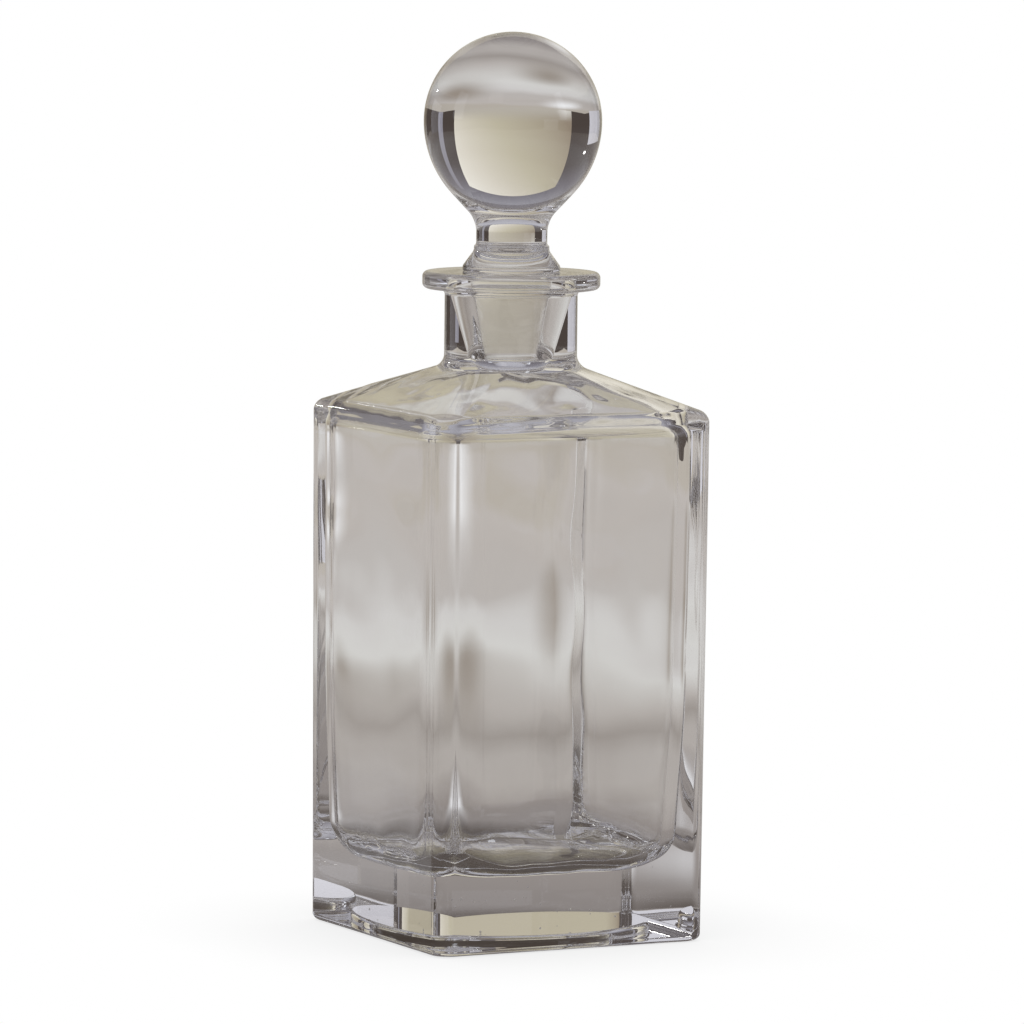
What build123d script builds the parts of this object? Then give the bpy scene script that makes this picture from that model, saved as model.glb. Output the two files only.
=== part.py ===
"""Square glass decanter with a solid ball stopper.

Two loose pieces of clear glass. The bottle is one piece: a square body on a thick solid foot, a
low four-sided shoulder, a round neck and a flat turned-out lip. The stopper is one piece: a ball
drawn in to a short stem, a conical skirt that sits on the lip, and a tapered plug that hangs in
the mouth. The origin is at the middle of the foot, on the table; +Z is up. The flat walls face
X and Y.
"""

import os
from math import radians, tan

from build123d import *

# --- Driving dimensions, in millimetres and degrees ---------------------------------------------

# The outside of the bottle. The walls lean out a little, so the body is widest at the shoulder.
foot_side = 85.0
shoulder_side = 86.3
edge_radius = 5.0  # the upright edges
heel_radius = 2.0  # the foot's bottom edge
kick_radius = 36.0  # the round hollow under the foot, which leaves a flat rim to stand on
kick_depth = 4.0
kick_top_radius = 1.5  # the rounding at the hollow's top
kick_rim_radius = 1.2  # the rounding where it meets the flat rim
rim_height = 150.0  # where the walls would meet the shoulder if that edge were sharp
rim_radius = 4.0
neck_root = 162.2  # where the shoulder would meet the neck if that corner were sharp
neck_root_radius = 4.0
neck_radius = 18.9
lip_radius = 25.3
lip_top = 188.7
lip_thickness = 5.0
lip_edge_radius = 1.6
lip_under_radius = 1.8

# The space inside the bottle. The glass is thick at the foot and thins out up the walls.
floor_height = 20.5
cavity_floor_side = 74.0
cavity_waist_height = 62.0
cavity_waist_side = 78.4
cavity_shoulder_side = 79.8
cavity_edge_radius = 8.0
cavity_floor_radius = 7.0
shoulder_thickness = 3.2
throat_radius = 16.0  # where the well's shoulder meets the thick glass of the neck
mouth_radius = 12.7  # the neck's bore narrows evenly from here, parallel to the plug
mouth_edge_radius = 0.8
bore_end_radius = 7.6
bore_end = 163.0  # level with the plug's end

# The stopper.
seat_gap = 0.1  # the skirt stands this far above the lip
plug_clearance = 0.3
ball_radius = 25.3
ball_height = 231.3  # of the ball's centre
draw_radius = 30.2  # the ball's underside is fuller, and draws in to the stem
draw_angle = 43.0  # below the equator, where the draw turns into a straight slope
stem_radius = 10.1
stem_root_radius = 8.0
bead_radius = 10.7  # a small step where the stem meets the skirt
bead_top = 196.4
bead_height = 1.8
skirt_radius = 13.9
skirt_edge_height = 1.4
skirt_edge_radius = 0.5
plug_end = bore_end
plug_end_edge_radius = 0.8

# --- Worked out from them -----------------------------------------------------------------------

cavity_rim = rim_height - shoulder_thickness
cavity_root = neck_root - shoulder_thickness / 2
lip_bottom = lip_top - lip_thickness
skirt_bottom = lip_top + seat_gap
plug_top_radius = mouth_radius - plug_clearance
plug_end_radius = bore_end_radius - plug_clearance
edge_search = 0.01  # half the height of the slice in which an edge is looked for


def edges_at(builder, height):
    """The edges of a part that lie flat at one height."""
    return builder.edges().filter_by_position(Axis.Z, height - edge_search, height + edge_search)


# --- The bottle ---------------------------------------------------------------------------------

with BuildPart() as decanter_bottle:
    # The body and its shoulder: a square foot, a square rim and the round root of the neck.
    with BuildSketch():
        RectangleRounded(foot_side, foot_side, edge_radius)
    with BuildSketch(Plane.XY.offset(rim_height)):
        RectangleRounded(shoulder_side, shoulder_side, edge_radius)
    with BuildSketch(Plane.XY.offset(neck_root)):
        Circle(neck_radius)
    loft(ruled=True)
    with BuildSketch(Plane.XY.offset(neck_root)):
        Circle(neck_radius)
    extrude(amount=lip_bottom - neck_root)
    fillet(edges_at(decanter_bottle, 0), heel_radius)
    fillet(edges_at(decanter_bottle, rim_height), rim_radius)
    fillet(edges_at(decanter_bottle, neck_root), neck_root_radius)

    # The kick: a round, flat-topped hollow pressed up into the foot.
    with BuildSketch(Plane.XY):
        Circle(kick_radius)
    extrude(amount=kick_depth, mode=Mode.SUBTRACT)
    fillet(edges_at(decanter_bottle, kick_depth), kick_top_radius)
    fillet(edges_at(decanter_bottle, 0).sort_by(SortBy.LENGTH)[-1], kick_rim_radius)

    # The lip: a flat disc turned out from the top of the neck.
    with BuildSketch(Plane.XY.offset(lip_bottom)):
        Circle(lip_radius)
    extrude(amount=lip_thickness)
    fillet(edges_at(decanter_bottle, lip_bottom).sort_by(SortBy.LENGTH)[0], lip_under_radius)
    fillet(edges_at(decanter_bottle, lip_bottom).sort_by(SortBy.LENGTH)[-1], lip_edge_radius)
    fillet(edges_at(decanter_bottle, lip_top), lip_edge_radius)

    # The well inside the body, a little wider as it rises, with its own shoulder.
    with BuildSketch(Plane.XY.offset(floor_height)):
        RectangleRounded(cavity_floor_side, cavity_floor_side, cavity_edge_radius)
    with BuildSketch(Plane.XY.offset(cavity_waist_height)):
        RectangleRounded(cavity_waist_side, cavity_waist_side, cavity_edge_radius)
    with BuildSketch(Plane.XY.offset(cavity_rim)):
        RectangleRounded(cavity_shoulder_side, cavity_shoulder_side, cavity_edge_radius)
    with BuildSketch(Plane.XY.offset(cavity_root)):
        Circle(throat_radius)
    loft(ruled=True, mode=Mode.SUBTRACT)
    fillet(edges_at(decanter_bottle, floor_height), cavity_floor_radius)

    # The neck's bore, which opens into the well just below the plug's end.
    with BuildSketch(Plane.XZ):
        with BuildLine():
            Polyline(
                (0, cavity_root),
                (throat_radius, cavity_root),
                (bore_end_radius, bore_end),
                (mouth_radius, lip_top),
                (0, lip_top),
                close=True,
            )
        make_face()
    revolve(axis=Axis.Z, mode=Mode.SUBTRACT)
    fillet(edges_at(decanter_bottle, lip_top).sort_by(SortBy.LENGTH)[0], mouth_edge_radius)

# --- The stopper --------------------------------------------------------------------------------

with BuildPart() as stopper:
    with BuildSketch(Plane.XZ):
        with BuildLine():
            ball = JernArc((0, ball_height + ball_radius), (1, 0), ball_radius, -90)
            draw = JernArc(ball @ 1, ball % 1, draw_radius, -draw_angle)
            slope_drop = ((draw @ 1).X - stem_radius) / tan(radians(draw_angle))
            stem_top = (draw @ 1).Y - slope_drop
            Polyline(
                draw @ 1,
                (stem_radius, stem_top),
                (stem_radius, bead_top),
                (bead_radius, bead_top),
                (bead_radius, bead_top - bead_height),
                (skirt_radius, skirt_bottom + skirt_edge_height),
                (skirt_radius, skirt_bottom),
                (plug_top_radius, skirt_bottom),
                (plug_end_radius, plug_end),
                (0, plug_end),
                ball @ 0,
            )
        make_face()
    revolve(axis=Axis.Z)
    fillet(edges_at(stopper, stem_top), stem_root_radius)
    fillet(edges_at(stopper, skirt_bottom + skirt_edge_height), skirt_edge_radius)
    fillet(edges_at(stopper, plug_end), plug_end_edge_radius)

# --- The finished pieces ------------------------------------------------------------------------

os.makedirs("parts", exist_ok=True)
decanter_bottle.part.label = "decanter_bottle"
stopper.part.label = "stopper"
export_step(decanter_bottle.part, "parts/decanter_bottle.step")
export_step(stopper.part, "parts/stopper.step")
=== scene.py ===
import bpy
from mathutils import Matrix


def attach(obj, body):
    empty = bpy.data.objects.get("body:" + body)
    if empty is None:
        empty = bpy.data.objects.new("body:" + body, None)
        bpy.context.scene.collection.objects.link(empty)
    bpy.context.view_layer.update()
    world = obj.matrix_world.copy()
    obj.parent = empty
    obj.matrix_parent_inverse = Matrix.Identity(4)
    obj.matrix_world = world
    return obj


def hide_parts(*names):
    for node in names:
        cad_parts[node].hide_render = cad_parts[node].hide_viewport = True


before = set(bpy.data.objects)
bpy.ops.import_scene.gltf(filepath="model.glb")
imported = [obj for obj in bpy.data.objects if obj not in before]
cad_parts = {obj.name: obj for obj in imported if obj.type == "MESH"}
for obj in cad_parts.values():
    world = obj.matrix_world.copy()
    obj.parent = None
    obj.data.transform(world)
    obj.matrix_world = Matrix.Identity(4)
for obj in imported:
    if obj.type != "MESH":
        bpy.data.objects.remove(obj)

"""The looks of a square glass decanter with a ball stopper.

Both pieces of glass are modelled over the fixed frame with Blender's own modelling operators: a
stack of rings is bridged into one closed skin, its sharp loops are bevelled, and its walls are
given the slow waves of hand-finished glass. A small turntable studio stands round them.
"""

import logging
import math
import random
from dataclasses import dataclass
from enum import Enum
from typing import Callable

import bmesh
import bpy
from mathutils import Matrix, Vector

MM = 0.001
LIGHT_BOUNCES = 96  # light runs a long way inside the walls before it leaves them
LOOP_SLACK = 0.5  # how far from its stated radius a loop is looked for, in millimetres
CORNER_REACH = 1.5  # a square loop's corners are nearer to the axis than this many half sides
POLE = 0.1  # size of the ring round a pole, as a share of the face that the pole is in

Spot = tuple[float, float]  # distance from the axis, and height
Shade = tuple[int, int, int]  # red, green and blue as a painter reads them, from 0 to 255
Colour = tuple[float, float, float, float]  # red, green, blue and cover in linear light
WHITE: Colour = (1.0, 1.0, 1.0, 1.0)

logging.basicConfig(level=logging.INFO, format="%(levelname)s %(message)s")
log = logging.getLogger("decanter")


# --- Working at the bench -----------------------------------------------------------------------


class Outline(Enum):
    """The plan shapes that a ring can have."""

    ROUND = "round"
    SQUARE = "square"


@dataclass(frozen=True)
class Ring:
    """One level ring of a skin, in millimetres.

    Attributes:
        size: Radius of a round ring, or half the side of a square one.
        height: Height above the table.
        corner: Radius of a square ring's corners.
        outline: Plan shape.
    """

    size: float
    height: float
    corner: float = 0.0
    outline: Outline = Outline.ROUND


@dataclass(frozen=True)
class Bench:
    """Edit-mode tools that both pieces are made with.

    Attributes:
        corner_steps: Edges in each quarter's corner.
        side_steps: Edges along each quarter's side.
        spacing: Height between rings while they are bridged, in millimetres.
    """

    corner_steps: int = 12
    side_steps: int = 24
    spacing: float = 25.0

    @property
    def ring_steps(self) -> int:
        """Vertices in one whole ring."""
        return 4 * (self.corner_steps + self.side_steps)

    def add_ring(self, ring: Ring, level: float) -> None:
        """Adds a ring's outline to the mesh being edited.

        Args:
            ring: The ring to add.
            level: Height to add it at, in metres.
        """
        bpy.ops.mesh.select_all(action="DESELECT")
        place = (0.0, 0.0, level)
        if ring.outline is Outline.ROUND:
            bpy.ops.mesh.primitive_circle_add(
                vertices=self.ring_steps, radius=ring.size * MM, location=place
            )
            return
        bpy.ops.mesh.primitive_plane_add(size=2 * ring.size * MM, location=place)
        bpy.ops.mesh.bevel(
            offset=ring.corner * MM, segments=self.corner_steps, profile=0.5, affect="VERTICES"
        )
        bpy.ops.mesh.delete(type="ONLY_FACE")
        longest = 2 * (ring.size - ring.corner) * MM
        pick_edges(
            lambda edge: abs(edge.verts[0].co.z - level) < 1e-6
            and abs(edge.calc_length() - longest) < 1e-6
        )
        bpy.ops.mesh.subdivide(number_cuts=self.side_steps - 1)

    def stack(self, name: str, rings: list[Ring]) -> bpy.types.Object:
        """Bridges rings, in order, into one closed skin with a pole at each end.

        The rings are bridged well apart and then moved to their heights, because two rings in
        one plane give the bridge no direction.

        Args:
            name: The new object's name.
            rings: The rings from the first pole to the last.

        Returns:
            The object, still in edit mode.
        """
        deselect_all()
        bpy.ops.mesh.primitive_circle_add(vertices=self.ring_steps, radius=MM)
        piece = bpy.context.object
        piece.name = piece.data.name = name
        bpy.ops.object.mode_set(mode="EDIT")
        bpy.ops.mesh.select_mode(type="EDGE")
        bpy.ops.mesh.select_all(action="SELECT")
        bpy.ops.mesh.delete(type="VERT")
        levels = [number * self.spacing * MM for number in range(len(rings))]
        for ring, level in zip(rings, levels):
            self.add_ring(ring, level)
        for first in range(len(rings) - 1):
            self.select_rings(first, first + 1)
            bpy.ops.mesh.bridge_edge_loops()
        for number, (ring, level) in enumerate(zip(rings, levels)):
            self.select_rings(number, number)
            bpy.ops.transform.translate(value=(0.0, 0.0, ring.height * MM - level))
        for last in (0, len(rings) - 1):
            self.select_rings(last, last)
            bpy.ops.mesh.edge_face_add()
            bpy.ops.mesh.poke()
        bpy.ops.mesh.select_all(action="SELECT")
        bpy.ops.mesh.normals_make_consistent(inside=False)
        return piece

    def select_rings(self, first: int, last: int) -> None:
        """Selects the edges of some untouched rings.

        Args:
            first: Number of the first ring.
            last: Number of the last ring.
        """

        def in_rings(edge: bmesh.types.BMEdge) -> bool:
            """Whether an edge is part of one of the rings, and doesn't run between two."""
            levels = {vert.index // self.ring_steps for vert in edge.verts}
            return len(levels) == 1 and first <= min(levels) <= last

        pick_edges(in_rings)


def edited_mesh() -> bmesh.types.BMesh:
    """Reads the mesh in edit mode.

    Returns:
        The mesh, with its indices up to date.
    """
    mesh = bmesh.from_edit_mesh(bpy.context.object.data)
    mesh.verts.ensure_lookup_table()
    mesh.verts.index_update()
    return mesh


def deselect_all() -> None:
    """Leaves object mode with nothing selected."""
    bpy.ops.object.select_all(action="DESELECT")


def reach(point: Vector) -> float:
    """Distance of a point from the upright axis, in millimetres."""
    return math.hypot(point.x, point.y) / MM


def pick_edges(wanted: Callable[[bmesh.types.BMEdge], bool]) -> int:
    """Selects the edges that pass a test, and nothing else.

    Args:
        wanted: Says whether an edge is to be selected.

    Returns:
        How many edges were selected.
    """
    bpy.ops.mesh.select_all(action="DESELECT")
    chosen = [edge for edge in edited_mesh().edges if wanted(edge)]
    for edge in chosen:
        edge.select_set(True)
    bmesh.update_edit_mesh(bpy.context.object.data)
    return len(chosen)


def soften(
    height: float, size: float, setback: float, steps: int, outline: Outline = Outline.ROUND
) -> None:
    """Rounds the level loop of edges at one height.

    Args:
        height: The loop's height, in millimetres.
        size: Its radius, or half its side.
        setback: How far the rounding reaches from the loop.
        steps: Faces across the rounding.
        outline: The loop's plan shape.
    """
    near = size - LOOP_SLACK
    far = size * CORNER_REACH if outline is Outline.SQUARE else size + LOOP_SLACK

    def in_loop(edge: bmesh.types.BMEdge) -> bool:
        """Whether an edge is part of the loop."""
        return all(
            abs(vert.co.z / MM - height) < 0.005 and near <= reach(vert.co) <= far
            for vert in edge.verts
        )

    count = pick_edges(in_loop)
    log.info("loop at %.1f mm: %d edges softened by %.1f mm", height, count, setback)
    bpy.ops.mesh.bevel(offset=setback * MM, segments=steps, profile=0.5, affect="EDGES")


def divide(low: Spot, high: Spot, longer_than: float, cuts: int) -> None:
    """Cuts a long strip of the skin across, so that it can bend smoothly.

    Args:
        low: Least distance from the axis and least height of the cut edges' middles.
        high: Greatest distance and height of them.
        longer_than: Only edges longer than this are cut, in millimetres.
        cuts: How many cuts.
    """

    def across(edge: bmesh.types.BMEdge) -> bool:
        """Says whether an edge runs across the strip.

        Args:
            edge: The edge.

        Returns:
            Whether it is long and has its middle in the strip.
        """
        middle = (edge.verts[0].co + edge.verts[1].co) / 2
        inside = low[0] <= reach(middle) <= high[0] and low[1] <= middle.z / MM <= high[1]
        return inside and edge.calc_length() / MM > longer_than

    count = pick_edges(across)
    log.info("strip %s to %s: %d edges cut %d times", low, high, count, cuts)
    bpy.ops.mesh.subdivide(number_cuts=cuts)


def clamp(share: float) -> float:
    """A share held between nought and one."""
    return min(1.0, max(0.0, share))


def wave(piece: bpy.types.Object, group: str, spread: Vector, depth: float, grain: float) -> None:
    """Gives part of a surface slow waves, and applies them.

    Args:
        piece: The object to shape.
        group: The vertex group that the waves act on.
        spread: Width, depth and height of one wave, as shares of the grain.
        depth: From trough to crest, in millimetres.
        grain: Size of one wave, in millimetres.
    """
    name = f"{group}_waves"
    pattern = bpy.data.textures.new(name, "CLOUDS")
    pattern.noise_scale = 1.0
    pattern.noise_depth = 1
    deselect_all()
    bpy.ops.object.empty_add(type="PLAIN_AXES")
    ruler = bpy.context.object
    ruler.scale = spread * grain * MM
    bpy.context.view_layer.update()
    deselect_all()
    piece.select_set(True)
    bpy.context.view_layer.objects.active = piece
    shift = piece.modifiers.new(name, "DISPLACE")
    shift.texture = pattern
    shift.texture_coords = "OBJECT"
    shift.texture_coords_object = ruler
    shift.direction = "NORMAL"
    shift.mid_level = 0.5
    shift.strength = depth * MM
    shift.vertex_group = group
    bpy.ops.object.modifier_apply(modifier=name)
    bpy.data.objects.remove(ruler)
    bpy.data.textures.remove(pattern)


def polish(piece: bpy.types.Object) -> None:
    """Shades a finished piece smoothly while its flat faces stay flat.

    Args:
        piece: The object to finish.
    """
    deselect_all()
    piece.select_set(True)
    bpy.context.view_layer.objects.active = piece
    bpy.ops.object.shade_smooth()
    flats = piece.modifiers.new("flats", "WEIGHTED_NORMAL")
    flats.weight = 80
    bpy.ops.object.modifier_apply(modifier=flats.name)


# --- The glass ----------------------------------------------------------------------------------


@dataclass(frozen=True)
class ClearGlass:
    """Plain clear glass with a fire-polished skin.

    Attributes:
        name: The material's name.
        tint: Colour of the glass itself.
        index: Index of refraction.
        ripple_size: Size of the skin's finest ripples, in millimetres.
        ripple_depth: Their depth, in millimetres.
        haze: Roughness where a film of handling dulls the skin.
    """

    name: str = "clear_glass"
    tint: Colour = (0.985, 0.985, 0.98, 1.0)
    index: float = 1.52
    ripple_size: float = 7.0
    ripple_depth: float = 0.004
    haze: float = 0.012

    def make(self) -> bpy.types.Material:
        """Builds the material.

        Returns:
            The glass.
        """
        material = bpy.data.materials.new(self.name)
        material.use_nodes = True
        tree = material.node_tree
        shader = tree.nodes["Principled BSDF"]
        shader.inputs["Base Color"].default_value = self.tint
        shader.inputs["IOR"].default_value = self.index
        shader.inputs["Transmission Weight"].default_value = 1.0
        place = tree.nodes.new("ShaderNodeTexCoord")
        self._add_haze(tree, place, shader)
        self._add_ripples(tree, place, shader)
        return material

    def _add_haze(
        self, tree: bpy.types.NodeTree, place: bpy.types.Node, shader: bpy.types.Node
    ) -> None:
        """Dulls the polish a little in soft patches.

        Args:
            tree: The material's nodes.
            place: Where the pattern's coordinates come from.
            shader: The glass shader.
        """
        patches = tree.nodes.new("ShaderNodeTexNoise")
        patches.inputs["Scale"].default_value = 55.0
        patches.inputs["Detail"].default_value = 3.0
        levels = tree.nodes.new("ShaderNodeMapRange")
        levels.interpolation_type = "SMOOTHSTEP"
        levels.inputs["From Min"].default_value = 0.55
        levels.inputs["From Max"].default_value = 0.8
        levels.inputs["To Max"].default_value = self.haze
        tree.links.new(place.outputs["Object"], patches.inputs["Vector"])
        tree.links.new(patches.outputs["Fac"], levels.inputs["Value"])
        tree.links.new(levels.outputs["Result"], shader.inputs["Roughness"])

    def _add_ripples(
        self, tree: bpy.types.NodeTree, place: bpy.types.Node, shader: bpy.types.Node
    ) -> None:
        """Adds the faint ripple that a mould leaves in the skin.

        Args:
            tree: The material's nodes.
            place: Where the pattern's coordinates come from.
            shader: The glass shader.
        """
        ripples = tree.nodes.new("ShaderNodeTexNoise")
        ripples.inputs["Scale"].default_value = 1 / (self.ripple_size * MM)
        ripples.inputs["Detail"].default_value = 1.0
        bump = tree.nodes.new("ShaderNodeBump")
        bump.inputs["Distance"].default_value = self.ripple_depth * MM
        tree.links.new(place.outputs["Object"], ripples.inputs["Vector"])
        tree.links.new(ripples.outputs["Fac"], bump.inputs["Height"])
        tree.links.new(bump.outputs["Normal"], shader.inputs["Normal"])


# --- The two pieces -----------------------------------------------------------------------------


@dataclass
class Bottle:
    """The bottle: a square body on a thick foot, with a round neck and a flat lip.

    All sizes are in millimetres.

    Attributes:
        bench: The tools it is made with.
        foot: Half the body's side at the foot.
        shoulder: Half the body's side at the shoulder.
        edge: Radius of the upright edges.
        rim: Height where the walls meet the shoulder.
        root: Height where the shoulder meets the neck.
        neck: Outer radius of the neck.
        lip: Radius of the lip.
        lip_top: Height of its top face.
        lip_thickness: Its thickness.
        kick: Radius of the hollow under the foot.
        kick_depth: Depth of that hollow.
        floor: Height of the well's floor.
        floor_half: Half the well's side where its walls turn in to the floor.
        bowl: Radius of that turn.
        bowl_corner: Corner radius of the floor in plan.
        bowl_steps: Faces across the turn.
        waist: Height where the walls have thinned.
        waist_half: Half the well's side there.
        well_half: Half the well's side under the shoulder.
        well_edge: Radius of the well's upright edges.
        well_rim: Height where the well's walls meet its own shoulder.
        throat: Radius where the well's shoulder meets the neck's thick glass.
        throat_foot: Height of that place.
        mouth: Radius of the bore at the lip.
        bore_end: Radius of the bore's lower end.
        bore_foot: Height of the bore's lower end.
        still_top: How far above the well's rim its walls' waves have died out.
        still_reach: The height over which they die out.
        vault_reach: The height over which the shoulder's own waves set in.
        calm_reach: The height under the throat over which all waves die out.
        bed_top: Height above the floor where the floor's waves die out, in bowl radii.
        seeds: How many seed bubbles there are in the foot.
        seed_margin: How far they keep from the floor's sides.
        seed_heights: The lowest and highest that they lie.
        seed_sizes: Their smallest and largest radius.
        lip_seed: Place of the one bubble in the lip.
        lip_seed_size: Its radius.
    """

    bench: Bench
    foot: float = 42.5
    shoulder: float = 43.15
    edge: float = 5.0
    rim: float = 150.0
    root: float = 162.2
    neck: float = 18.9
    lip: float = 25.3
    lip_top: float = 188.7
    lip_thickness: float = 5.0
    kick: float = 36.0
    kick_depth: float = 4.0
    floor: float = 20.5
    floor_half: float = 37.2
    bowl: float = 9.0
    bowl_corner: float = 19.0
    bowl_steps: int = 12
    waist: float = 62.0
    waist_half: float = 39.2
    well_half: float = 39.9
    well_edge: float = 12.0
    well_rim: float = 146.8
    throat: float = 16.0
    throat_foot: float = 160.6
    mouth: float = 12.7
    bore_end: float = 7.6
    bore_foot: float = 163.0
    still_top: float = 4.0
    still_reach: float = 28.0
    vault_reach: float = 5.0
    calm_reach: float = 10.0
    bed_top: float = 1.6
    seeds: int = 26
    seed_margin: float = 2.0
    seed_heights: tuple[float, float] = (4, 17)
    seed_sizes: tuple[float, float] = (0.12, 0.38)
    lip_seed: tuple[float, float, float] = (2.5, -15.8, 183.5)
    lip_seed_size: float = 0.5

    @property
    def lip_foot(self) -> float:
        """Height of the lip's underside."""
        return self.lip_top - self.lip_thickness

    def build(self, glass: bpy.types.Material) -> bpy.types.Object:
        """Models the bottle and ties it to the frame.

        Args:
            glass: The material it is made of.

        Returns:
            The finished piece.
        """
        piece = self.bench.stack("bottle_glass", self._rings())
        self._soften_outside()
        self._soften_inside()
        self._divide_walls()
        bpy.ops.object.mode_set(mode="OBJECT")
        self._wave_walls(piece)
        polish(piece)
        self._add_seeds(piece)
        piece.data.materials.append(glass)
        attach(piece, "bottle")
        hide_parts("decanter_bottle")
        return piece

    def _rings(self) -> list[Ring]:
        """Lists the rings of the skin, in the order that they are bridged.

        Returns:
            The rings from under the foot, up the outside and down into the well.
        """
        square = Outline.SQUARE
        return [
            *self._kick_rings(),
            Ring(self.foot, 0.0, self.edge, square),
            Ring(self.shoulder, self.rim, self.edge, square),
            Ring(self.neck, self.root),
            Ring(self.neck, self.lip_foot),
            Ring(self.lip, self.lip_foot),
            Ring(self.lip, self.lip_top),
            Ring(self.mouth, self.lip_top),
            Ring(self.bore_end, self.bore_foot),
            Ring(self.throat, self.throat_foot),
            Ring(self.well_half, self.well_rim, self.well_edge, square),
            Ring(self.waist_half, self.waist, self.well_edge, square),
            *self._bowl_rings(),
            Ring(self.floor_half * 0.45, self.floor - 0.3, self.floor_half * 0.4, square),
            Ring(self.floor_half * POLE, self.floor - 0.5),
        ]

    def _kick_rings(self) -> list[Ring]:
        """The rings of the flat-topped hollow under the foot."""
        top = [Ring(self.kick * share, self.kick_depth) for share in (0.08, 0.3, 0.55, 0.8)]
        return [*top, Ring(self.kick, self.kick_depth), Ring(self.kick, 0.0)]

    def _bowl_rings(self) -> list[Ring]:
        """Lists the rings that turn the well's walls in to its floor.

        Returns:
            The rings from the walls to the floor, ever rounder in plan.
        """
        rings = []
        for step in range(self.bowl_steps + 1):
            angle = math.radians(90 * step / self.bowl_steps)
            side = self.floor_half - self.bowl * (1 - math.cos(angle))
            height = self.floor + self.bowl * (1 - math.sin(angle))
            corner = self.well_edge + (self.bowl_corner - self.well_edge) * math.sin(angle)
            rings.append(Ring(side, height, corner, Outline.SQUARE))
        return rings

    def _soften_outside(self) -> None:
        """Rounds the loops on the outside of the bottle."""
        soften(self.kick_depth, self.kick, setback=1.5, steps=6)
        soften(0.0, self.kick, setback=1.2, steps=6)
        soften(0.0, self.foot, setback=2.0, steps=6, outline=Outline.SQUARE)
        soften(self.rim, self.shoulder, setback=2.6, steps=8, outline=Outline.SQUARE)
        soften(self.root, self.neck, setback=2.8, steps=8)
        soften(self.lip_foot, self.neck, setback=1.8, steps=6)
        soften(self.lip_foot, self.lip, setback=1.6, steps=6)
        soften(self.lip_top, self.lip, setback=1.6, steps=6)

    def _soften_inside(self) -> None:
        """Rounds the loops inside the mouth and the well."""
        square = Outline.SQUARE
        soften(self.lip_top, self.mouth, setback=0.8, steps=4)
        soften(self.bore_foot, self.bore_end, setback=0.8, steps=5)
        soften(self.throat_foot, self.throat, setback=3.0, steps=8)
        soften(self.well_rim, self.well_half, setback=3.4, steps=8, outline=square)
        soften(self.waist, self.waist_half, setback=14.0, steps=8, outline=square)

    def _divide_walls(self) -> None:
        """Cuts the long strips of the walls, shoulders and neck into short ones."""
        outside, inside = self.shoulder * CORNER_REACH, self.well_half * CORNER_REACH
        within = self.floor_half * 0.8
        body = (self.foot - LOOP_SLACK, self.rim / 3), (outside, self.rim * 2 / 3)
        well_top = (within, 90.0), (inside, 125.0)
        well_foot = (within, 30.0), (inside, 50.0)
        shoulders = (self.neck, self.well_rim), (self.shoulder, self.root)
        neck = (self.neck - LOOP_SLACK, 165.0), (self.neck + LOOP_SLACK, 178.0)
        divide(*body, longer_than=60.0, cuts=47)
        divide(*well_top, longer_than=40.0, cuts=22)
        divide(*well_foot, longer_than=12.0, cuts=6)
        divide(*shoulders, longer_than=12.0, cuts=11)
        divide(*neck, longer_than=6.0, cuts=6)

    def _wave_walls(self, piece: bpy.types.Object) -> None:
        """Gives the inside and the outer skin the waves of glass that was worked by hand.

        Args:
            piece: The bottle.
        """
        names = ("walls", "vault", "bed", "skin")
        groups = {name: piece.vertex_groups.new(name=name) for name in names}
        for vert in piece.data.vertices:
            height = vert.co.z / MM
            side = max(abs(vert.co.x), abs(vert.co.y)) / MM
            calm = clamp((self.throat_foot - height) / self.calm_reach)
            if height < self.floor - 1 or side > self._wall_middle(height):
                groups["skin"].add([vert.index], calm, "REPLACE")
                continue
            vaulted = clamp((height - self.well_rim) / self.vault_reach)
            still = clamp((self.well_rim + self.still_top - height) / self.still_reach)
            bedded = clamp((self.floor + self.bed_top * self.bowl - height) / self.bowl)
            groups["walls"].add([vert.index], still, "REPLACE")
            groups["vault"].add([vert.index], vaulted * calm, "REPLACE")
            groups["bed"].add([vert.index], bedded, "REPLACE")
        wave(piece, "walls", Vector((1.0, 1.0, 1.2)), depth=0.9, grain=32.0)
        wave(piece, "vault", Vector((1.4, 1.4, 1.0)), depth=1.2, grain=9.0)
        wave(piece, "bed", Vector((1.0, 1.0, 1.0)), depth=0.5, grain=9.0)
        wave(piece, "skin", Vector((1.0, 1.0, 2.4)), depth=0.12, grain=30.0)

    def _wall_middle(self, height: float) -> float:
        """Half the side, or the radius, of the middle of the wall at a height.

        Args:
            height: Height above the table, in millimetres.

        Returns:
            Half the side, or the radius, in millimetres.
        """
        if height < self.well_rim:
            return (self.foot + self.well_half) / 2
        if height > self.root:
            return (self.neck + self.mouth) / 2
        half_thickness = (self.rim - self.well_rim) / 2
        share = (height - self.well_rim - half_thickness) / (self.root - self.rim)
        return self.shoulder + (self.neck - self.shoulder) * clamp(share)

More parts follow.
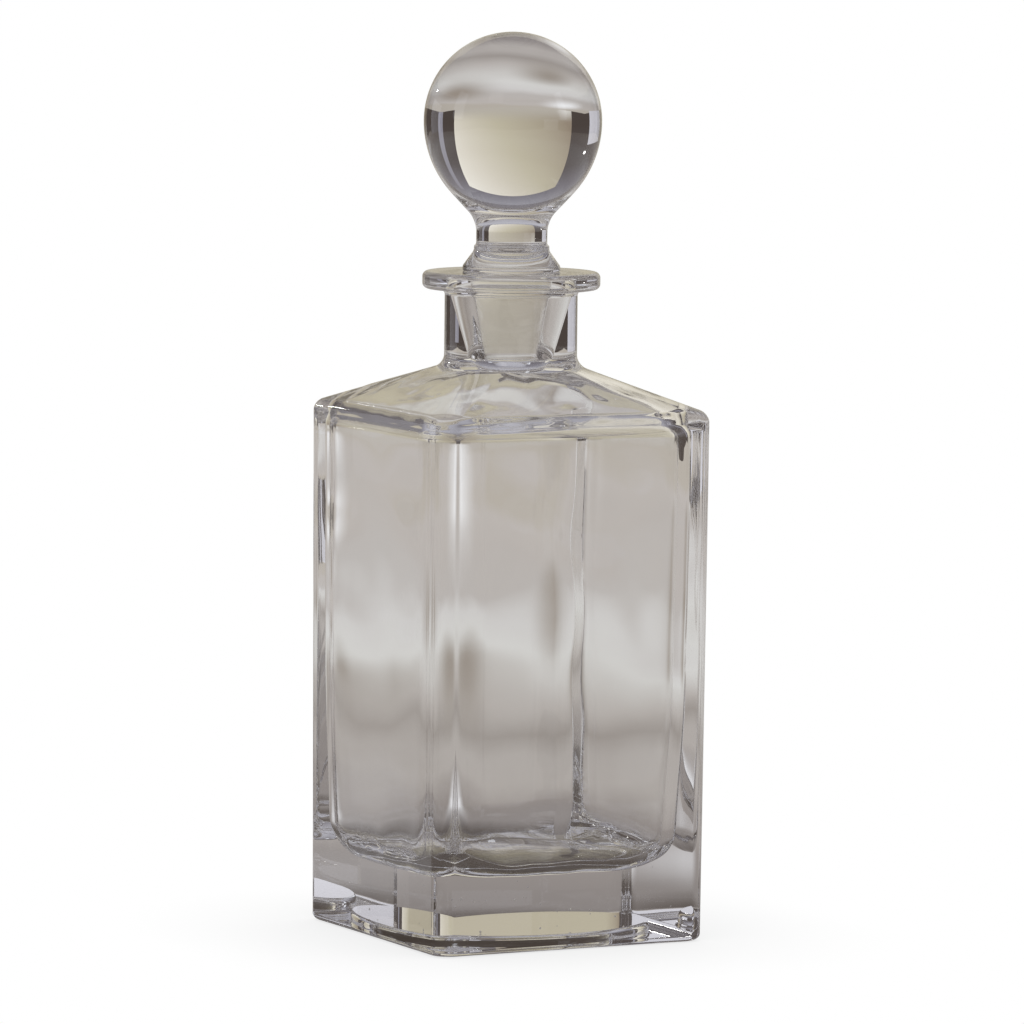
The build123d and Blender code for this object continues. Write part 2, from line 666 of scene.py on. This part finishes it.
    def _add_seeds(self, piece: bpy.types.Object) -> None:
        """Leaves a few seed bubbles in the thick glass of the foot and one in the lip.

        Args:
            piece: The bottle.
        """
        dice = random.Random(11)
        room = self.floor_half - self.seed_margin
        spans = ((-room, room), (-room, room), self.seed_heights)
        places = [Vector([dice.uniform(*span) for span in spans]) for _ in range(self.seeds)]
        sizes = [dice.uniform(*self.seed_sizes) for _ in places]
        places.append(Vector(self.lip_seed))
        sizes.append(self.lip_seed_size)
        deselect_all()
        piece.select_set(True)
        bpy.context.view_layer.objects.active = piece
        bpy.ops.object.mode_set(mode="EDIT")
        bpy.ops.mesh.select_all(action="DESELECT")
        for place, size in zip(places, sizes):
            bpy.ops.mesh.primitive_ico_sphere_add(
                subdivisions=2, radius=size * MM, location=place * MM
            )
            bpy.ops.mesh.faces_shade_smooth()
            bpy.ops.mesh.flip_normals()
            bpy.ops.mesh.select_all(action="DESELECT")
        bpy.ops.object.mode_set(mode="OBJECT")


@dataclass
class Stopper:
    """The stopper: a ball drawn in to a stem, a skirt on the lip and a plug in the mouth.

    All sizes are in millimetres.

    Attributes:
        bench: The tools it is made with.
        ball: Radius of the ball.
        centre: Height of its centre.
        draw: Radius of its fuller underside.
        draw_angle: Angle below the equator where the underside runs straight, in degrees.
        stem: Radius of the stem.
        bead: Radius of the small step under the stem.
        bead_top: Height of that step.
        bead_height: Its height.
        skirt: Radius of the skirt.
        skirt_foot: Height of the skirt's underside.
        skirt_edge: Height of its upright edge.
        shank: Radius of the plug where it starts.
        end: Radius of the plug's end.
        end_height: Height of the plug's end.
        arc_steps: Rings in a quarter of the ball.
        bead_rise: How far below the stem's foot the bead's upper edge is.
    """

    bench: Bench
    ball: float = 25.3
    centre: float = 231.3
    draw: float = 30.2
    draw_angle: float = 43.0
    stem: float = 10.1
    bead: float = 10.7
    bead_top: float = 196.4
    bead_height: float = 1.8
    skirt: float = 13.9
    skirt_foot: float = 188.8
    skirt_edge: float = 1.4
    shank: float = 12.4
    end: float = 7.3
    end_height: float = 163.0
    arc_steps: int = 36
    bead_rise: float = 0.5

    def build(self, glass: bpy.types.Material) -> bpy.types.Object:
        """Models the stopper and ties it to the frame.

        Args:
            glass: The material it is made of.

        Returns:
            The finished piece.
        """
        piece = self.bench.stack("stopper_glass", self._rings())
        self._soften_loops()
        bpy.ops.object.mode_set(mode="OBJECT")
        polish(piece)
        piece.data.materials.append(glass)
        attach(piece, "stopper")
        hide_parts("stopper")
        return piece

    @property
    def stem_top(self) -> float:
        """Works out where the straight draw would meet the stem.

        Returns:
            The height of that place.
        """
        angle = math.radians(self.draw_angle)
        draw_foot = self.ball - self.draw + self.draw * math.cos(angle)
        drop = (draw_foot - self.stem) / math.tan(angle)
        return self.centre - self.draw * math.sin(angle) - drop

    def _rings(self) -> list[Ring]:
        """Lists the rings of the skin, in the order that they are bridged.

        Returns:
            The rings from the crown of the ball down to the plug's end.
        """
        crown = [
            Ring(self.ball * math.cos(angle), self.centre + self.ball * math.sin(angle))
            for angle in self._angles(90.0)
        ]
        underside = [
            Ring(
                self.ball - self.draw + self.draw * math.cos(angle),
                self.centre - self.draw * math.sin(angle),
            )
            for angle in reversed(self._angles(self.draw_angle))
        ]
        skirt_rim = self.skirt_foot + self.skirt_edge
        return [
            *crown,
            Ring(self.ball, self.centre),
            *underside,
            Ring(self.stem, self.stem_top),
            Ring(self.stem, self.bead_top),
            Ring(self.bead, self.bead_top - self.bead_rise),
            Ring(self.bead, self.bead_top - self.bead_height),
            Ring(self.skirt, skirt_rim),
            Ring(self.skirt, self.skirt_foot),
            Ring(self.shank, self.skirt_foot),
            Ring(self.end, self.end_height),
            Ring(self.end * POLE, self.end_height),
        ]

    def _angles(self, widest: float) -> list[float]:
        """Angles from the equator, from the widest down to the first step, without the pole.

        Args:
            widest: The largest angle, in degrees.

        Returns:
            The angles, in radians.
        """
        count = round(self.arc_steps * widest / 90)
        angles = [math.radians(widest * step / count) for step in range(count, 0, -1)]
        return [angle for angle in angles if angle < math.radians(89)]

    def _soften_loops(self) -> None:
        """Rounds the loops below the ball."""
        soften(self.stem_top, self.stem, setback=3.1, steps=10)
        soften(self.bead_top, self.stem, setback=0.4, steps=3)
        soften(self.bead_top - self.bead_rise, self.bead, setback=0.25, steps=3)
        soften(self.bead_top - self.bead_height, self.bead, setback=0.6, steps=4)
        soften(self.skirt_foot + self.skirt_edge, self.skirt, setback=0.5, steps=4)
        soften(self.skirt_foot, self.skirt, setback=0.3, steps=3)
        soften(self.skirt_foot, self.shank, setback=0.4, steps=3)
        soften(self.end_height, self.end, setback=0.7, steps=4)


# --- The studio ---------------------------------------------------------------------------------


class Seen(Enum):
    """How a part of the studio shows."""

    DIRECTLY = "directly"
    THROUGH_GLASS = "through the glass"


@dataclass(frozen=True)
class Glow:
    """A studio surface that gives off even light.

    Attributes:
        name: The material's name.
        colour: Its colour.
        strength: How bright it is.
    """

    name: str
    colour: Colour
    strength: float = 1.0

    def make(self) -> bpy.types.Material:
        """Builds the material.

        Returns:
            The glowing surface. Its light's node is called Glow.
        """
        material = bpy.data.materials.new(self.name)
        material.use_nodes = True
        tree = material.node_tree
        tree.nodes.clear()
        out = tree.nodes.new("ShaderNodeOutputMaterial")
        light = tree.nodes.new("ShaderNodeEmission")
        light.name = "Glow"
        light.inputs["Color"].default_value = self.colour
        light.inputs["Strength"].default_value = self.strength
        tree.links.new(light.outputs[0], out.inputs["Surface"])
        material.cycles.emission_sampling = "NONE"
        return material


@dataclass
class Studio:
    """The camera, the floor and the cards and cloths that the glass bends into view.

    Lengths are in metres and angles in degrees.

    Attributes:
        away: Camera's distance from the decanter's axis.
        eye: Camera's height.
        turn: How far round the decanter it stands.
        pan: How much further round it looks.
        drop: How far it looks down.
        tilt: How far it leans over.
        lens: Focal length, in millimetres.
        card_away: Distance of the backdrop card behind the decanter.
        card_sunk: How far its foot reaches below the floor, so that no gap shows.
        cloth_half: Half the width of the cloth.
    """

    away: float = 2.0833
    eye: float = 0.3127
    turn: float = 27.115
    pan: float = 0.024
    drop: float = 5.285
    tilt: float = 0.591
    lens: float = 258.17
    card_away: float = 1.64
    card_sunk: float = 0.01
    cloth_half: float = 1.5

    def build(self) -> None:
        """Sets up the whole studio. The camera is made first."""
        camera = self._add_camera()
        turntable = self._add_turntable(camera)
        self._add_floor()
        self._add_cloth(turntable)
        self._add_card(turntable)
        self._add_flags(turntable)
        self._add_lamps(turntable)
        self._add_room()

    def _add_camera(self) -> bpy.types.Object:
        """Makes the camera and puts it in its place.

        Returns:
            The camera.
        """
        data = bpy.data.cameras.new("camera")
        camera = bpy.data.objects.new("camera", data)
        bpy.context.scene.collection.objects.link(camera)
        bpy.context.scene.camera = camera
        data.lens = self.lens
        data.clip_start, data.clip_end = 0.05, 60.0
        turn = math.radians(self.turn)
        camera.location = (-self.away * math.sin(turn), -self.away * math.cos(turn), self.eye)
        facing = (
            Matrix.Rotation(-turn - math.radians(self.pan), 4, "Z")
            @ Matrix.Rotation(math.radians(90 - self.drop), 4, "X")
            @ Matrix.Rotation(math.radians(self.tilt), 4, "Z")
        )
        camera.rotation_euler = facing.to_euler()
        return camera

    def _add_turntable(self, camera: bpy.types.Object) -> bpy.types.Object:
        """Makes the upright pivot that keeps the cards behind the decanter.

        Args:
            camera: The camera that the pivot faces.

        Returns:
            The pivot. Its +Y points away from the camera.
        """
        deselect_all()
        bpy.ops.object.empty_add(type="PLAIN_AXES")
        pivot = bpy.context.object
        pivot.name = "turntable"
        aim = pivot.constraints.new("LOCKED_TRACK")
        aim.target = camera
        aim.track_axis = "TRACK_NEGATIVE_Y"
        aim.lock_axis = "LOCK_Z"
        return pivot

    def _place(
        self,
        name: str,
        size: tuple[float, float],
        seen: Seen,
        material: bpy.types.Material,
        pivot: bpy.types.Object | None,
        bearing: float = 0.0,
        away: float = 0.0,
        height: float = 0.0,
    ) -> bpy.types.Object:
        """Adds a flat part of the studio.

        Args:
            name: Its name.
            size: Its width and its height or depth.
            seen: How it shows.
            material: What it is covered in.
            pivot: The turntable, or None for a part that stands still.
            bearing: Direction from straight behind the decanter, positive to the right.
            away: Distance from the axis; nought lays the part flat round it.
            height: Height of its middle.

        Returns:
            The part.
        """
        deselect_all()
        bpy.ops.mesh.primitive_plane_add(size=1.0)
        part = bpy.context.object
        part.name = name
        turn = math.radians(-bearing)
        part.scale = (*size, 1.0)
        part.location = (-away * math.sin(turn), away * math.cos(turn), height)
        if away:
            part.rotation_euler = (math.radians(90), 0.0, turn)
        part.parent = pivot
        part.data.materials.append(material)
        direct = seen is Seen.DIRECTLY
        part.visible_camera = direct
        part.visible_transmission = part.visible_glossy = not direct
        part.visible_diffuse = part.visible_shadow = False
        return part

    def _add_floor(self) -> None:
        """Lays the pale floor, with soft shade where the foot meets it."""
        material = Glow("pale_floor", WHITE, 0.97).make()
        tree = material.node_tree
        shade = tree.nodes.new("ShaderNodeAmbientOcclusion")
        shade.samples = 12
        shade.inputs["Distance"].default_value = 0.06
        levels = tree.nodes.new("ShaderNodeMapRange")
        levels.inputs["From Min"].default_value = 0.0
        levels.inputs["To Min"].default_value = 0.76
        tree.links.new(shade.outputs["AO"], levels.inputs["Value"])
        tree.links.new(levels.outputs["Result"], tree.nodes["Glow"].inputs["Strength"])
        self._place("pale_floor", (60.0, 60.0), Seen.DIRECTLY, material, None, height=-0.0002)

    def _add_cloth(self, pivot: bpy.types.Object) -> None:
        """Lays the creased grey cloth that shows through the glass. It glows with painted
        light and shade: painted bands, a painted shadow round the decanter's foot and
        painted pools of light and shade.

        Args:
            pivot: The turntable.
        """
        material = Glow("grey_cloth", WHITE).make()
        tree = material.node_tree
        place = tree.nodes.new("ShaderNodeTexCoord")
        size = (2 * self.cloth_half, 2 * self.card_away)
        metres = tree.nodes.new("ShaderNodeMapping")
        metres.inputs["Scale"].default_value = (*size, 1.0)
        tree.links.new(place.outputs["Object"], metres.inputs["Vector"])
        share = self._add_creases(tree, metres)
        bands = tree.nodes.new("ShaderNodeValToRGB")
        self._fill_painted_bands(bands.color_ramp)
        tree.links.new(share, bands.inputs["Fac"])
        lit = bands.outputs["Color"]
        # painted pools on the cloth: a painted pool of light towards the lamp, a small painted
        # pool of light beside the decanter, and two pools of painted shade
        patches = (
            ((-0.62, 1.25, 0.0), 0.42, (240, 240, 242)),
            ((-0.14, 0.08, 0.0), 0.10, (236, 236, 240)),
            ((0.42, 0.74, 0.0), 0.40, (150, 140, 130)),
            ((-0.17, 0.50, 0.0), 0.22, (150, 141, 132)),
        )
        for middle, radius, shade in patches:
            lit = self._add_painted_pool(tree, metres, lit, middle, radius, shade)
        tree.links.new(lit, tree.nodes["Glow"].inputs["Color"])
        self._place("grey_cloth", size, Seen.THROUGH_GLASS, material, pivot, height=-0.001)

    def _add_creases(
        self, tree: bpy.types.NodeTree, metres: bpy.types.Node
    ) -> bpy.types.NodeSocket:
        """Works out how far out a place on the cloth seems to be, once the creases bend it.

        Args:
            tree: The cloth's nodes.
            metres: The node that gives a place on the cloth in metres.

        Returns:
            The distance from the decanter, as a share of the distance to the card.
        """
        length = tree.nodes.new("ShaderNodeVectorMath")
        length.operation = "LENGTH"
        tree.links.new(metres.outputs["Vector"], length.inputs[0])
        creases = tree.nodes.new("ShaderNodeTexNoise")
        creases.inputs["Scale"].default_value = 4.0
        creases.inputs["Detail"].default_value = 1.5
        tree.links.new(metres.outputs["Vector"], creases.inputs["Vector"])
        parts = tree.nodes.new("ShaderNodeSeparateXYZ")
        tree.links.new(metres.outputs["Vector"], parts.inputs["Vector"])
        slant = tree.nodes.new("ShaderNodeMath")
        slant.operation = "MULTIPLY_ADD"
        slant.inputs[1].default_value = 0.2
        tree.links.new(parts.outputs["X"], slant.inputs[0])
        tree.links.new(length.outputs["Value"], slant.inputs[2])
        push = tree.nodes.new("ShaderNodeMapRange")
        push.inputs["To Min"].default_value = 0.9
        push.inputs["To Max"].default_value = 1.1
        tree.links.new(creases.outputs["Fac"], push.inputs["Value"])
        pushed = tree.nodes.new("ShaderNodeMath")
        pushed.operation = "MULTIPLY"
        tree.links.new(slant.outputs[0], pushed.inputs[0])
        tree.links.new(push.outputs["Result"], pushed.inputs[1])
        share = tree.nodes.new("ShaderNodeMath")
        share.operation = "DIVIDE"
        share.inputs[1].default_value = self.card_away
        tree.links.new(pushed.outputs[0], share.inputs[0])
        return share.outputs[0]

    def _fill_painted_bands(self, ramp: bpy.types.ColorRamp) -> None:
        """Sets the cloth's painted bands of light and shade from the decanter out to the card.

        Args:
            ramp: The colour ramp to fill.
        """
        shades = [
            # the two darkest stops are a painted shadow on the cloth round the decanter's foot
            (0.00, 62, 55, 50),
            (0.032, 78, 70, 65),
            (0.05, 140, 134, 132),
            (0.10, 148, 141, 138),
            (0.14, 176, 170, 166),
            (0.17, 174, 168, 164),
            (0.205, 152, 145, 140),
            (0.25, 180, 174, 170),
            (0.31, 199, 196, 193),
            (0.40, 212, 211, 209),
            (0.48, 208, 206, 205),
            (0.58, 186, 181, 178),
            (0.70, 186, 180, 176),
            (0.82, 190, 184, 180),
            (0.95, 184, 177, 168),
        ]
        ramp.elements.remove(ramp.elements[1])
        ramp.elements[0].position = shades[0][0]
        ramp.elements[0].color = paint(shades[0][1:])
        for share, *shade in shades[1:]:
            ramp.elements.new(share).color = paint(shade)

    def _add_painted_pool(
        self,
        tree: bpy.types.NodeTree,
        metres: bpy.types.Node,
        under: bpy.types.NodeSocket,
        middle: tuple[float, float, float],
        radius: float,
        shade: Shade,
    ) -> bpy.types.NodeSocket:
        """Paints a soft round pool of light or of shade onto a part of the studio.

        Args:
            tree: The part's nodes.
            metres: The node that gives a place on the part in metres.
            under: The part's colour without it.
            middle: The middle of the patch.
            radius: Its radius.
            shade: Its shade in the middle.

        Returns:
            The part's colour with it.
        """
        distance = tree.nodes.new("ShaderNodeVectorMath")
        distance.operation = "DISTANCE"
        distance.inputs[1].default_value = middle
        tree.links.new(metres.outputs["Vector"], distance.inputs[0])
        fade = tree.nodes.new("ShaderNodeMapRange")
        fade.interpolation_type = "SMOOTHSTEP"
        fade.inputs["From Max"].default_value = radius
        fade.inputs["To Min"].default_value = 1.0
        fade.inputs["To Max"].default_value = 0.0
        tree.links.new(distance.outputs["Value"], fade.inputs["Value"])
        return self._blend(tree, under, shade, fade.outputs["Result"])

    def _blend(
        self,
        tree: bpy.types.NodeTree,
        under: bpy.types.NodeSocket,
        shade: Shade,
        share: bpy.types.NodeSocket,
    ) -> bpy.types.NodeSocket:
        """Lays a shade over a colour.

        Args:
            tree: The nodes to add to.
            under: The colour beneath.
            shade: The shade to lay over it.
            share: How much of the shade shows, from 0 to 1.

        Returns:
            The blended colour.
        """
        blend = tree.nodes.new("ShaderNodeMix")
        blend.data_type = "RGBA"
        blend.inputs["B"].default_value = paint(shade)
        tree.links.new(share, blend.inputs["Factor"])
        tree.links.new(under, blend.inputs["A"])
        return blend.outputs["Result"]

    def _add_card(self, pivot: bpy.types.Object) -> None:
        """Stands the cream backdrop card behind the decanter. It glows, with painted light that
        grows towards its upper right and a painted pool of light at its lower left.

        Args:
            pivot: The turntable.
        """
        material = Glow("cream_card", WHITE).make()
        tree = material.node_tree
        place = tree.nodes.new("ShaderNodeTexCoord")
        across = tree.nodes.new("ShaderNodeVectorMath")
        across.operation = "DOT_PRODUCT"
        across.inputs[1].default_value = (0.75, 0.45, 0.0)
        tree.links.new(place.outputs["Object"], across.inputs[0])
        levels = tree.nodes.new("ShaderNodeMapRange")
        levels.inputs["From Min"].default_value = -0.5
        levels.inputs["From Max"].default_value = 0.5
        tree.links.new(across.outputs["Value"], levels.inputs["Value"])
        # painted light: the card darkens towards its lower left and brightens towards its upper
        # right
        shades = tree.nodes.new("ShaderNodeValToRGB")
        ramp = shades.color_ramp
        ramp.elements[0].color = paint((150, 137, 121))
        ramp.elements[1].color = paint((242, 238, 228))
        ramp.elements.new(0.42).color = paint((194, 187, 166))
        ramp.elements.new(0.72).color = paint((222, 216, 203))
        tree.links.new(levels.outputs["Result"], shades.inputs["Fac"])
        size = (1.9, 1.5)
        metres = tree.nodes.new("ShaderNodeMapping")
        metres.inputs["Scale"].default_value = (*size, 1.0)
        tree.links.new(place.outputs["Object"], metres.inputs["Vector"])
        lit = self._add_foot(tree, place, shades.outputs["Color"])
        # a painted pool of light at the card's lower left
        foot_left = (-0.82, -0.86, 0.0)
        lit = self._add_painted_pool(tree, metres, lit, foot_left, 0.3, (232, 230, 226))
        tree.links.new(lit, tree.nodes["Glow"].inputs["Color"])
        middle = size[1] / 2 - self.card_sunk
        stand = {"away": self.card_away, "height": middle}
        self._place("cream_card", size, Seen.THROUGH_GLASS, material, pivot, **stand)

    def _add_foot(
        self, tree: bpy.types.NodeTree, place: bpy.types.Node, under: bpy.types.NodeSocket
    ) -> bpy.types.NodeSocket:
        """Greys the card's foot, so that it runs into the cloth without a step.

        Args:
            tree: The card's nodes.
            place: The node that gives a place on the card.
            under: The card's colour without it.

        Returns:
            The card's colour with it.
        """
        parts = tree.nodes.new("ShaderNodeSeparateXYZ")
        tree.links.new(place.outputs["Object"], parts.inputs["Vector"])
        fade = tree.nodes.new("ShaderNodeMapRange")
        fade.interpolation_type = "SMOOTHSTEP"
        fade.inputs["From Min"].default_value = -0.5
        fade.inputs["From Max"].default_value = -0.36
        fade.inputs["To Min"].default_value = 1.0
        fade.inputs["To Max"].default_value = 0.0
        tree.links.new(parts.outputs["Y"], fade.inputs["Value"])
        return self._blend(tree, under, (185, 179, 170), fade.outputs["Result"])

    def _add_flags(self, pivot: bpy.types.Object) -> None:
        """Stands the window lights and the plain cards round the sides. The cards are no lamps:
        they glow with painted light.

        Args:
            pivot: The turntable.
        """
        strip = Glow("window_strip", paint((150, 148, 158))).make()
        window = Glow("window", paint((235, 238, 248))).make()
        # the low, side and front cards glow with painted light
        low = Glow("low_card", paint((212, 211, 219))).make()
        front = Glow("front_card", paint((196, 194, 196))).make()
        cards = (  # name, size, material, bearing, distance, height
            ("right_strip", (0.16, 1.6), strip, 43.0, 1.7, 0.85),
            ("left_window", (0.5, 0.9), window, -104.0, 1.7, 0.75),
            ("right_window", (0.35, 1.0), window, 112.0, 1.7, 0.8),
            ("low_card", (0.7, 0.7), low, -60.0, 1.7, 0.2),
            ("side_card", (0.6, 0.5), low, 130.0, 1.7, 0.1),
            ("front_card", (0.9, 0.7), front, 205.0, 2.4, 1.7),
        )
        for name, size, material, bearing, away, height in cards:
            self._place(name, size, Seen.THROUGH_GLASS, material, pivot, bearing, away, height)

    def _add_lamps(self, pivot: bpy.types.Object) -> None:
        """Adds the small bright lamp that makes the glints.

        Args:
            pivot: The turntable.
        """
        bulb = Glow("bulb", (1.0, 0.99, 0.97, 1.0), 60.0).make()
        size = (0.05, 0.05)
        stand = {"bearing": -47.0, "away": 2.0, "height": 0.75}
        self._place("bulb", size, Seen.THROUGH_GLASS, bulb, pivot, **stand)

    def _add_room(self) -> None:
        """Fills the rest of the room: dark brown below, cool grey above, white to the camera."""
        world = bpy.data.worlds.new("room")
        bpy.context.scene.world = world
        world.use_nodes = True
        tree = world.node_tree
        tree.nodes.clear()
        out = tree.nodes.new("ShaderNodeOutputWorld")
        around = tree.nodes.new("ShaderNodeTexCoord")
        parts = tree.nodes.new("ShaderNodeSeparateXYZ")
        tree.links.new(around.outputs["Generated"], parts.inputs["Vector"])
        shades = tree.nodes.new("ShaderNodeValToRGB")
        ramp = shades.color_ramp
        ramp.elements[0].color = paint((74, 66, 62))
        ramp.elements[1].color = paint((190, 190, 200))
        ramp.elements.new(0.35).color = paint((92, 86, 86))
        ramp.elements.new(0.6).color = paint((124, 121, 129))
        tree.links.new(parts.outputs["Z"], shades.inputs["Fac"])
        room = tree.nodes.new("ShaderNodeBackground")
        tree.links.new(shades.outputs["Color"], room.inputs["Color"])
        white = tree.nodes.new("ShaderNodeBackground")
        white.inputs["Color"].default_value = WHITE
        path = tree.nodes.new("ShaderNodeLightPath")
        choose = tree.nodes.new("ShaderNodeMixShader")
        tree.links.new(path.outputs["Is Camera Ray"], choose.inputs["Fac"])
        tree.links.new(room.outputs[0], choose.inputs[1])
        tree.links.new(white.outputs[0], choose.inputs[2])
        tree.links.new(choose.outputs[0], out.inputs["Surface"])


def paint(shade: Shade) -> Colour:
    """Turns a shade as a painter reads it into light.

    Args:
        shade: The shade.

    Returns:
        The same in linear light, covering fully.
    """
    shares = [part / 255 for part in shade]
    light = [s / 12.92 if s <= 0.04045 else ((s + 0.055) / 1.055) ** 2.4 for s in shares]
    return (*light, 1.0)


def main() -> None:
    """Builds the studio and both pieces of glass."""
    scene = bpy.context.scene
    scene.view_settings.view_transform = "Standard"
    scene.cycles.max_bounces = LIGHT_BOUNCES
    scene.cycles.transmission_bounces = LIGHT_BOUNCES
    scene.cycles.glossy_bounces = LIGHT_BOUNCES
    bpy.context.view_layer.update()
    Studio().build()
    bench = Bench()
    glass = ClearGlass().make()
    for maker in (Bottle(bench), Stopper(bench)):
        piece = maker.build(glass)
        log.info("%s: %d faces", piece.name, len(piece.data.polygons))


if __name__ == "__main__":
    main()
